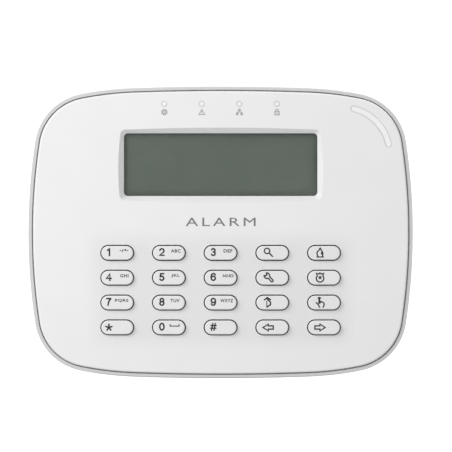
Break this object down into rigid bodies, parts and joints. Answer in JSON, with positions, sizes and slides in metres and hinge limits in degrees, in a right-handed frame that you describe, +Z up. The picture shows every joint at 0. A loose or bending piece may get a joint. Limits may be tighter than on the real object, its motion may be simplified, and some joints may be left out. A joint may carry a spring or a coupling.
{
  "type": "alarm keypad panel",
  "caption": "Wall-mounted alarm keypad with a domed white cover, a wide bevelled display window, rubber keys, status lights and a curved light guide, on a hook-on wall plate.",
  "frame": {"origin": "centre of the four wall-screw holes, on the face that rests on the wall", "axes": "+X to the right as the user faces the panel, +Z up, +Y into the wall; the keys face -Y"},
  "size_m": [0.1656, 0.0236, 0.1258],
  "materials": {
    "shell_plastic": "fine satin moulded ABS, white",
    "plate_plastic": "moulded ABS, light grey",
    "key_rubber": "white silicone rubber, matt",
    "clear_lens": "clear hard-coated acrylic",
    "tape": "black foam tape",
    "display_glass": "reflective green-grey liquid crystal glass",
    "dark_metal": "black painted steel",
    "light_diffuser": "milky acrylic panel",
    "clear_guide": "clear acrylic light pipe",
    "milky_guide": "milky acrylic light guide",
    "circuit_board": "glass-fibre board with green solder mask",
    "steel": "zinc-plated steel",
    "brass": "plated brass",
    "lamp": "moulded epoxy lamp",
    "chip_black": "black moulded epoxy",
    "can_metal": "drawn aluminium can",
    "small_parts": "ceramic chip parts",
    "terminal_green": "green polyamide",
    "plunger_red": "red acetal"
  },
  "bodies": {
    "wall_plate_body": {"wall_plate": "plate_plastic", "lock_screw": "steel"},
    "case": {"front_cover": "shell_plastic", "rear_housing": "shell_plastic", "key_mat": "key_rubber", "display_lens": "clear_lens", "lens_tape": "tape", "lcd_glass": "display_glass", "lcd_bezel": "dark_metal", "lcd_backlight": "light_diffuser", "status_light_pipes": "clear_guide", "arc_light_guide": "milky_guide", "main_board": "circuit_board", "lcd_board": "circuit_board", "case_screws": "steel", "board_screws": "steel", "terminal_screws": "steel", "tamper_spring": "steel", "lcd_pins": "brass", "terminal_clamps": "brass", "key_contacts": "brass", "status_leds": "lamp", "arc_leds": "lamp", "key_leds": "lamp", "control_chip": "chip_black", "bus_driver": "chip_black", "regulator": "chip_black", "buzzer": "chip_black", "tamper_switch": "chip_black", "capacitors": "can_metal", "crystal": "can_metal", "board_passives": "small_parts", "bus_fuse": "small_parts", "terminal_block": "terminal_green"},
    "key_1_body": {"key_1": "key_rubber"},
    "key_2_body": {"key_2": "key_rubber"},
    "key_3_body": {"key_3": "key_rubber"},
    "key_search_body": {"key_search": "key_rubber"},
    "key_fire_body": {"key_fire": "key_rubber"},
    "key_4_body": {"key_4": "key_rubber"},
    "key_5_body": {"key_5": "key_rubber"},
    "key_6_body": {"key_6": "key_rubber"},
    "key_tool_body": {"key_tool": "key_rubber"},
    "key_badge_body": {"key_badge": "key_rubber"},
    "key_7_body": {"key_7": "key_rubber"},
    "key_8_body": {"key_8": "key_rubber"},
    "key_9_body": {"key_9": "key_rubber"},
    "key_bypass_body": {"key_bypass": "key_rubber"},
    "key_touch_body": {"key_touch": "key_rubber"},
    "key_star_body": {"key_star": "key_rubber"},
    "key_0_body": {"key_0": "key_rubber"},
    "key_hash_body": {"key_hash": "key_rubber"},
    "key_left_body": {"key_left": "key_rubber"},
    "key_right_body": {"key_right": "key_rubber"},
    "plunger": {"tamper_plunger": "plunger_red"}
  },
  "joints": [
    {"name": "case_lift", "type": "slide", "parent": "wall_plate_body", "child": "case", "axis": [0, 0, 1], "range_m": [0, 0.006]},
    {"name": "key_1_press", "type": "slide", "parent": "case", "child": "key_1_body", "axis": [0, 1, 0], "range_m": [0, 0.001], "stiffness_N_per_m": 150, "springref_m": -0.002},
    {"name": "key_2_press", "type": "slide", "parent": "case", "child": "key_2_body", "axis": [0, 1, 0], "range_m": [0, 0.001], "stiffness_N_per_m": 150, "springref_m": -0.002},
    {"name": "key_3_press", "type": "slide", "parent": "case", "child": "key_3_body", "axis": [0, 1, 0], "range_m": [0, 0.001], "stiffness_N_per_m": 150, "springref_m": -0.002},
    {"name": "key_search_press", "type": "slide", "parent": "case", "child": "key_search_body", "axis": [0, 1, 0], "range_m": [0, 0.001], "stiffness_N_per_m": 150, "springref_m": -0.002},
    {"name": "key_fire_press", "type": "slide", "parent": "case", "child": "key_fire_body", "axis": [0, 1, 0], "range_m": [0, 0.001], "stiffness_N_per_m": 150, "springref_m": -0.002},
    {"name": "key_4_press", "type": "slide", "parent": "case", "child": "key_4_body", "axis": [0, 1, 0], "range_m": [0, 0.001], "stiffness_N_per_m": 150, "springref_m": -0.002},
    {"name": "key_5_press", "type": "slide", "parent": "case", "child": "key_5_body", "axis": [0, 1, 0], "range_m": [0, 0.001], "stiffness_N_per_m": 150, "springref_m": -0.002},
    {"name": "key_6_press", "type": "slide", "parent": "case", "child": "key_6_body", "axis": [0, 1, 0], "range_m": [0, 0.001], "stiffness_N_per_m": 150, "springref_m": -0.002},
    {"name": "key_tool_press", "type": "slide", "parent": "case", "child": "key_tool_body", "axis": [0, 1, 0], "range_m": [0, 0.001], "stiffness_N_per_m": 150, "springref_m": -0.002},
    {"name": "key_badge_press", "type": "slide", "parent": "case", "child": "key_badge_body", "axis": [0, 1, 0], "range_m": [0, 0.001], "stiffness_N_per_m": 150, "springref_m": -0.002},
    {"name": "key_7_press", "type": "slide", "parent": "case", "child": "key_7_body", "axis": [0, 1, 0], "range_m": [0, 0.001], "stiffness_N_per_m": 150, "springref_m": -0.002},
    {"name": "key_8_press", "type": "slide", "parent": "case", "child": "key_8_body", "axis": [0, 1, 0], "range_m": [0, 0.001], "stiffness_N_per_m": 150, "springref_m": -0.002},
    {"name": "key_9_press", "type": "slide", "parent": "case", "child": "key_9_body", "axis": [0, 1, 0], "range_m": [0, 0.001], "stiffness_N_per_m": 150, "springref_m": -0.002},
    {"name": "key_bypass_press", "type": "slide", "parent": "case", "child": "key_bypass_body", "axis": [0, 1, 0], "range_m": [0, 0.001], "stiffness_N_per_m": 150, "springref_m": -0.002},
    {"name": "key_touch_press", "type": "slide", "parent": "case", "child": "key_touch_body", "axis": [0, 1, 0], "range_m": [0, 0.001], "stiffness_N_per_m": 150, "springref_m": -0.002},
    {"name": "key_star_press", "type": "slide", "parent": "case", "child": "key_star_body", "axis": [0, 1, 0], "range_m": [0, 0.001], "stiffness_N_per_m": 150, "springref_m": -0.002},
    {"name": "key_0_press", "type": "slide", "parent": "case", "child": "key_0_body", "axis": [0, 1, 0], "range_m": [0, 0.001], "stiffness_N_per_m": 150, "springref_m": -0.002},
    {"name": "key_hash_press", "type": "slide", "parent": "case", "child": "key_hash_body", "axis": [0, 1, 0], "range_m": [0, 0.001], "stiffness_N_per_m": 150, "springref_m": -0.002},
    {"name": "key_left_press", "type": "slide", "parent": "case", "child": "key_left_body", "axis": [0, 1, 0], "range_m": [0, 0.001], "stiffness_N_per_m": 150, "springref_m": -0.002},
    {"name": "key_right_press", "type": "slide", "parent": "case", "child": "key_right_body", "axis": [0, 1, 0], "range_m": [0, 0.001], "stiffness_N_per_m": 150, "springref_m": -0.002},
    {"name": "tamper_press", "type": "slide", "parent": "case", "child": "plunger", "axis": [0, -1, 0], "range_m": [0, 0.0015], "stiffness_N_per_m": 100, "springref_m": -0.001, "deforming": ["tamper_spring"]}
  ]
}
